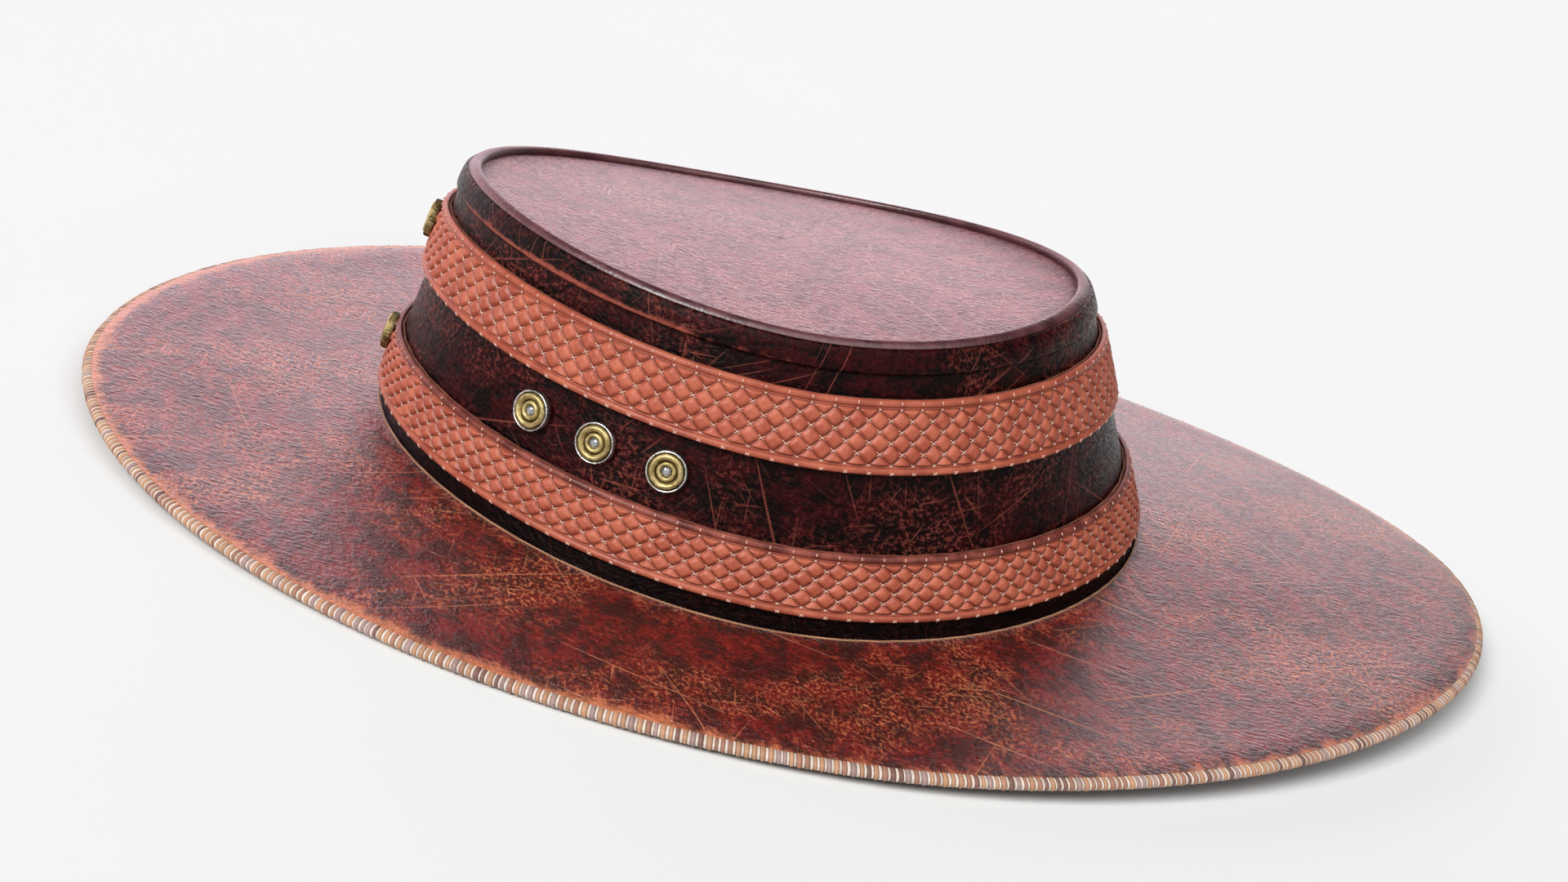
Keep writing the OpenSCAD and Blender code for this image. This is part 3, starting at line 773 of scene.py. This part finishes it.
def brim_lacing():
    """Lace whipped over the brim's edge: every turn is its own bulge with its own colour."""
    around = np.linspace(0, TAU, 8001)
    p = edge_point(around)
    length = np.r_[0, np.cumsum(np.linalg.norm(np.diff(p, axis=0), axis=1))]
    total = length[-1]
    # turns come in pairs, a narrow pale one, whose cream is a painted highlight, and a wider tan or
    # brown one
    pair_pitch, slant, reach = 1.6, 0.9, 0.5
    pairs = round(total / pair_pitch)
    widths = np.stack([rng.uniform(0.45, 0.75, pairs), rng.uniform(0.7, 1.25, pairs)], 1).ravel()
    widths *= total / widths.sum()
    starts = np.r_[0, np.cumsum(widths)[:-1]]
    cuts = np.array([0.0, 0.1, 0.3, 0.5, 0.7, 0.9])
    bulge = np.array([0.0, 0.62, 0.95, 1.0, 0.95, 0.62])
    u = (starts[:, None] + widths[:, None] * cuts[None]).ravel()
    high = np.tile(bulge, len(widths)) * np.repeat(np.clip(widths * 0.36, 0.15, 0.4), len(cuts))
    # t runs from under the brim, round its edge, to its top; each end lies flat on the leather
    U, T = np.meshgrid(u, np.linspace(0, 1, 21), indexing="ij")
    a = np.interp((U + slant * (T - 0.5)) % total, length, around)
    swing = math.pi * np.clip((T - 0.2) / 0.6, 0, 1) - math.pi / 2
    flat = np.where(T < 0.2, 1 - T / 0.2, np.where(T > 0.8, (T - 0.8) / 0.2, 0)) * reach
    grow = high[:, None] * np.sin(math.pi * np.clip(T, 0.03, 0.97)) ** 0.5
    up, out = -np.sin(swing), np.cos(swing)
    inset = binding_r * (1 - out) + flat - (grow - 0.4) * out
    skin = brim_point(a, 1.0, lace_mid + (lace_half - 0.4 + grow) * up, inset)
    inner = brim_point(a[:, ::-5], 1.0, (lace_mid + up)[:, ::-5], binding_r + 1.0)
    sections = np.concatenate([skin, inner], 1)
    obj = ring_piece("brim_edge_lacing", sections, lace_material)
    n, m, _ = skin.shape
    m_all = sections.shape[1]
    # painted shade: darkest in the grooves between turns, full over the hidden inner side
    groove = np.broadcast_to((1 - np.tile(bulge, len(widths)))[:, None] ** 2 * 0.9, (n, m))
    mark(obj, "valley", np.concatenate([groove, np.ones((n, m_all - m))], 1))

    # painted highlight: the narrow turns take a cream colour in place of each turn's sheen
    painted_highlight_cream = (0.80, 0.68, 0.58)
    dull = np.array([(0.58, 0.30, 0.16), (0.40, 0.18, 0.11), (0.20, 0.09, 0.07), (0.42, 0.28, 0.26)])
    picks = dull[rng.choice(4, size=pairs, p=[0.45, 0.3, 0.1, 0.15])]
    colours = np.stack([np.broadcast_to(painted_highlight_cream, picks.shape), picks], 1).reshape(-1, 3)
    colours = colours * rng.uniform(0.8, 1.08, (len(widths), 1))
    per_face = np.repeat(np.repeat(colours, len(cuts), 0), m_all, 0)
    layer = obj.data.attributes.new("turn_colour", "FLOAT_COLOR", "FACE")
    layer.data.foreach_set("color", np.c_[per_face, np.ones(len(per_face))].astype(np.float32).ravel())
    assign(obj, "hat", "lace", "brim_binding")


def base_cord():
    """Two-ply cord laid round the crown's foot."""
    turn_pitch = 1.3
    a, length = even_angles(2400, 0.4, 0.5)
    A, T = np.meshgrid(a, -np.arange(10) / 10 * TAU, indexing="ij")
    turns = round(length / turn_pitch)
    twist = np.linspace(0, turns * TAU / 2, len(a) + 1)[:-1][:, None]
    radius = 0.2 + 0.09 * np.abs(np.cos(T - twist))
    ring = crown_point(A, 0.35 + radius * np.sin(T), 0.5 + radius * np.cos(T))
    obj = ring_piece("crown_base_twist", ring, cord_paint)
    assign(obj, "hat", "base_cord", "crown_base_cord")


# ---------------------------------------------------------------- bands
def quilt_relief(along, up):
    """Height of the quilting; along counts diamonds, up runs from 0 to 1 across the face."""
    rows = np.clip((up - quilt_welt) / (1 - 2 * quilt_welt), 0, 1) * quilt_rows
    puff = 1.0
    for seams in (along + rows, along - rows):
        from_seam = np.abs(seams - np.round(seams))
        puff = puff * (1 - (1 - np.clip(2 * from_seam, 0, 1)) ** 3.5)
    puff *= np.clip(np.minimum(up - quilt_welt, 1 - quilt_welt - up) / 0.03, 0, 1) ** 0.5
    ridge = np.exp(-((np.minimum(up, 1 - up) - 0.02) / 0.016) ** 2)
    return np.where((up < quilt_welt) | (up > 1 - quilt_welt), 0.5 * ridge, puff)


def quilted_band(key, lo, hi, top_paint):
    """Quilted strip with a rolled edge each side; key names the band's body and nodes."""
    face_lo, face_hi = lo + 2 * roll_r - 0.1, hi - 2 * roll_r + 0.1
    middle, sub = (lo + hi) / 2, 20
    _, length = even_angles(8, middle, 2.0)
    count = round(length / diamond)
    a, _ = even_angles(count * sub, middle, 2.0)
    U, V = np.meshgrid(np.arange(count * sub) / sub, np.linspace(0, 1, 81), indexing="ij")
    high = quilt_relief(U, V)
    A = np.broadcast_to(a[:, None], U.shape)
    Z = face_lo + (face_hi - face_lo) * V
    skin = crown_point(A, Z, face_in + 0.12 + high)
    back = crown_point(A[:, ::-8], Z[:, ::-8], face_in + 0.02)
    obj = ring_piece(f"{key}_quilt", np.concatenate([skin, back], 1), quilt_paint)
    # painted shade: the quilting's hollows, darkest along the seam lines
    seams = np.clip(1 - high / 0.5, 0, 1) ** 1.3
    mark(obj, "valley", np.concatenate([seams, np.ones((len(a), back.shape[1]))], 1) * 0.9)
    assign(obj, key, "quilted_leather", f"{key}_face")

    edge_r, edge_off = roll_r + 0.03, roll_off + 0.08
    A, T = np.meshgrid(a[::4], -np.arange(16) / 16 * TAU, indexing="ij")
    for end, z, paint in (("top", hi - roll_r, top_paint), ("bottom", lo + roll_r, roll_paint)):
        ring = crown_point(A, z + edge_r * np.sin(T), edge_off + edge_r * np.cos(T))
        roll = ring_piece(f"{key}_{end}_rolled_edge", ring, paint)
        assign(roll, key, "band_roll", f"{key}_{end}_roll")

    turn = np.r_[a[-sub:] - TAU, a, a[:2 * sub] + TAU]

    def place(u, z, off):
        """Point of the band, u diamonds round it."""
        return crown_point(np.interp(u * sub, np.arange(-sub, (count + 2) * sub), turn), z, off)

    # a small cross of thread wherever the quilting's seams meet
    threads = []
    row_high = (face_hi - face_lo) * (1 - 2 * quilt_welt) / quilt_rows
    last = int(2 * quilt_rows)
    s = np.linspace(-1, 1, 5)
    for k in range(last + 1):
        z = face_lo + (face_hi - face_lo) * quilt_welt + row_high * k / 2
        reach = 0.15 if 0 < k < last else 0.08
        for i in range(count):
            for side in (-1, 1):
                u = i + (0.5 if k % 2 else 0.0) + rng.normal(0, 0.01)
                path = place(u + reach * s, z + side * reach * s * row_high * 0.75,
                             face_in + 0.5 - 0.2 * s ** 2)
                threads.append(tube(path, 0.13, 5))
    # single stitches over the top roll, crosses over the bottom one
    arc = np.linspace(-0.1, 0.7, 7)
    lift = 0.86
    rise, out = lift * np.sin(arc), edge_off + lift * np.cos(arc)
    for i in range(count):
        threads.append(tube(place(i + 0.5 * (last % 2) + 0.02 * arc, hi - roll_r + rise, out), 0.17, 6))
        for side in (-1, 1):
            tilt = side * 0.11 * (arc - 0.3) / 0.5
            threads.append(tube(place(i + tilt, lo + roll_r - rise, out), 0.14, 6))
    stitches = tubes_piece(f"{key}_stitches", threads, thread_paint)
    assign(stitches, key, "base_cord")


# ---------------------------------------------------------------- buttons
def button_frame(a, z, off=0.0):
    """Matrix that puts a button's own +Z along the crown's outward normal there."""
    along, up, out = crown_axes(np.array(a), np.array(z))
    up = np.cross(out, along)
    m = Matrix([[*along], [*up], [*out]]).transposed().to_4x4()
    m.translation = Vector(crown_point(a, z, off) * MM)
    return m


def lathe(profile, sides, wave):
    """Points (sides, profile, 3) of a turned shape; wave(angle, index) scales the radius."""
    profile = np.asarray(profile, float)
    T, K = np.meshgrid(np.arange(sides) / sides * TAU, np.arange(len(profile)), indexing="ij")
    r = profile[:, 0][K] * wave(T, K)
    return np.stack([r * np.cos(T), r * np.sin(T), profile[:, 1][K]], -1)


def ring_button(key, angle, z, off, post_len, spin, edge_paint):
    """A domed button on its post: two raised rings, a twelve-sided groove and a reeded edge."""
    base = 0.5
    face = base + 0.4
    # radius, and height over the face's plane, from the middle out
    rings = [(0.02, 0.75), (1.15, 0.8), (1.28, 1.25), (1.5, 1.62), (1.8, 1.72), (2.1, 1.6),
             (2.3, 1.2), (2.42, 0.85), (2.55, 0.85), (2.68, 1.2), (2.9, 1.6), (3.2, 1.82),
             (3.5, 1.88), (3.8, 1.78), (4.02, 1.5), (4.13, 1.05), (4.2, 0.9), (4.38, 0.9),
             (4.45, 1.3), (4.6, 1.42), (4.78, 1.36), (4.86, 1.15)]
    middle_ring, groove, dark_rows, dull_rows = (9, 14), (15, 18), (7, 8, 16, 17), (0, 1)
    edge = [(button_r - 0.1, face + 1.05), (button_r - 0.02, face + 0.9), (button_r, base + 0.2),
            (button_r - 0.1, base + 0.02)]
    post = [(post_r + 0.4, base), (post_r, base - 0.1), (post_r, -post_len), (0.02, -post_len)]
    top, rim = len(rings), len(rings) + len(edge)

    def shape(T, K):
        facet = math.pi / 6
        polygon = math.cos(facet / 2) / np.cos(((T + spin) % facet) - facet / 2)
        in_groove = (K >= groove[0]) & (K <= groove[1])
        wobble = 1 + 0.006 * np.sin(3 * T + spin) * ((K >= middle_ring[0]) & (K <= middle_ring[1]))
        reeds = np.where((K >= top) & (K < rim), 1 - 0.022 * (np.sin(36 * T) > 0), 1.0)
        return np.where(in_groove, 0.5 + 0.5 * polygon, 1.0) * wobble * reeds

    points = lathe([(r, face + h) for r, h in rings] + edge + post, 144, shape)
    n, m, _ = points.shape
    obj = mesh_piece(f"{key}_button_rings", points.reshape(-1, 3), sheet_faces(n, m).tolist(),
                     [brass_paint, edge_paint], 60)
    row = np.broadcast_to(np.arange(m), (n, m))
    mark(obj, "valley", np.isin(row, dark_rows) * 1.0 + np.isin(row, dull_rows) * 0.5)
    on_edge = (row[:, :-1] >= top - 4) & (row[:, :-1] < rim - 1)
    obj.data.polygons.foreach_set("material_index", on_edge.ravel().astype(np.int32))
    obj.data.transform(button_frame(angle, z, off))
    assign(obj, f"{key}_button", "button_brass", f"{key}_button_head")

    # the stone: an eight-sided table, crown and girdle
    t = np.arange(8) / 8 * TAU
    levels = [(0.62, 1.55, t), (0.95, 1.35, t + math.pi / 8), (1.2, 1.05, t), (1.2, 0.8, t)]
    points = [[r * math.cos(v), r * math.sin(v), face + h] for r, h, turn in levels for v in turn]
    faces = [list(range(8)), list(range(31, 23, -1))]
    for i in range(8):
        j = (i + 1) % 8
        faces += [[i, 8 + i, j], [8 + i, 8 + j, j], [8 + i, 16 + j, 8 + j], [8 + i, 16 + i, 16 + j],
                  [16 + i, 24 + i, 24 + j, 16 + j]]
    gem = mesh_piece(f"{key}_button_gem", points, faces, gem_material)
    gem.data.shade_flat()
    gem.data.transform(button_frame(angle, z, off))
    assign(gem, f"{key}_button", "button_stone", f"{key}_button_stone")


# ---------------------------------------------------------------- build
crown_shell()
tip_panel()
tip_piping()
cap_collar()
crown_lining()
sweatband()
sweatband_bow()
brim_leathers()
brim_lacing()
base_cord()
quilted_band("upper_band", *upper_band, roll_paint)
quilted_band("lower_band", *lower_band, dark_roll_paint)
between = (lower_band[1] + upper_band[0]) / 2
for key, degrees, spin in zip(button_keys[:3], button_angles, (0.3, 0.9, 1.7)):
    ring_button(key, math.radians(degrees), between, 0.0, crown_post, spin, silver_paint)
closing = math.radians(closing_angle)
ring_button("upper_band", closing, upper_band[1] - upper_button_drop, face_out, band_post, 0.5,
            dark_edge_paint)
ring_button("lower_band", closing, lower_band[1] - lower_button_drop, face_out, band_post, 1.1,
            dark_edge_paint)


# ---------------------------------------------------------------- floor, light and camera
def floor():
    """A plain pale floor, wide enough to fill the picture; side in metres."""
    side = 12.0
    mesh = bpy.data.meshes.new("floor")
    corners = [(-side, -side, 0), (side, -side, 0), (side, side, 0), (-side, side, 0)]
    mesh.from_pydata(corners, [], [(0, 1, 2, 3)])
    obj = bpy.data.objects.new("floor", mesh)
    bpy.context.scene.collection.objects.link(obj)
    p = Paint("pale_floor")
    tone = p.mix(p.noise(3, 2), (0.80, 0.82, 0.815), (0.82, 0.84, 0.835))
    mesh.materials.append(p.finish(**{"Base Color": tone, "Roughness": 0.9, "Specular IOR Level": 0.1}))


def soft_sun(name, azimuth, elevation, spread, strength):
    """A broad even light; azimuth 0 is the -Y side and grows towards +X."""
    light = bpy.data.lights.new(name, "SUN")
    light.angle = math.radians(spread)
    light.energy = strength
    obj = bpy.data.objects.new(name, light)
    a, e = math.radians(azimuth), math.radians(elevation)
    at = Vector((math.sin(a) * math.cos(e), -math.cos(a) * math.cos(e), math.sin(e)))
    obj.rotation_euler = at.to_track_quat("Z", "Y").to_euler()
    bpy.context.scene.collection.objects.link(obj)


def studio_world():
    """Dim surroundings with one low, broad, faintly rosy glow behind the hat.

    The glow gives the brim and the tip their sheen; the crown hides it from the brim's front.
    """
    world = bpy.data.worlds.new("studio")
    world.use_nodes = True
    tree = world.node_tree
    shade = tree.nodes["Background"]
    way = tree.nodes.new("ShaderNodeTexCoord").outputs["Generated"]
    split = tree.nodes.new("ShaderNodeSeparateXYZ")
    tree.links.new(way, split.inputs[0])

    def ramp(value, low, high, out_low, out_high):
        n = tree.nodes.new("ShaderNodeMapRange")
        n.interpolation_type = "SMOOTHSTEP"
        for socket, number in (("From Min", low), ("From Max", high), ("To Min", out_low),
                               ("To Max", out_high)):
            n.inputs[socket].default_value = number
        tree.links.new(value, n.inputs["Value"])
        return n.outputs[0]

    glow = tree.nodes.new("ShaderNodeMath")
    glow.operation = "MULTIPLY"
    # the glow is stronger towards -X
    lean = tree.nodes.new("ShaderNodeMath")
    lean.operation = "MULTIPLY_ADD"
    tree.links.new(split.outputs["X"], lean.inputs[0])
    lean.inputs[1].default_value = -0.35
    tree.links.new(split.outputs["Y"], lean.inputs[2])
    tree.links.new(ramp(lean.outputs[0], 0.3, 0.9, 0, 1), glow.inputs[0])
    tree.links.new(ramp(split.outputs["Z"], 0.60, 0.38, 0, 1), glow.inputs[1])
    tree.links.new(ramp(glow.outputs[0], 0, 1, surround, behind), shade.inputs["Strength"])
    tint = tree.nodes.new("ShaderNodeMix")
    tint.data_type = "RGBA"
    tree.links.new(glow.outputs[0], tint.inputs[0])
    tint.inputs[6].default_value = (1.0, 1.0, 1.0, 1.0)
    tint.inputs[7].default_value = (1.0, 0.76, 0.84, 1.0)
    tree.links.new(tint.outputs[2], shade.inputs["Color"])
    bpy.context.scene.world = world


def camera():
    """Looks at the crown's foot from the photograph's side."""
    azimuth, elevation, roll = (math.radians(v) for v in (-12.23, 22.39, 14.59))
    distance = 540 * MM
    right = Vector((math.cos(azimuth), math.sin(azimuth), 0))
    back = Vector((math.sin(azimuth) * math.cos(elevation),
                   -math.cos(azimuth) * math.cos(elevation), math.sin(elevation)))
    up = back.cross(right)
    x = math.cos(roll) * right + math.sin(roll) * up
    y = -math.sin(roll) * right + math.cos(roll) * up
    data = bpy.data.cameras.new("camera")
    data.sensor_width = 36
    data.lens = 46.16
    data.shift_x, data.shift_y = 0.0124, 0.0109
    data.clip_start = 0.01
    obj = bpy.data.objects.new("camera", data)
    matrix = Matrix((x, y, back)).transposed().to_4x4()
    matrix.translation = Vector((crown_pos[0], crown_pos[1], foot_z)) * MM + back * distance
    obj.matrix_world = matrix
    bpy.context.scene.collection.objects.link(obj)
    bpy.context.scene.camera = obj


floor()
soft_sun("key", -48, 42, 30, 2.9)
soft_sun("fill", 32, 52, 60, 1.3)
studio_world()
bpy.context.scene.view_settings.view_transform = "Standard"
camera()
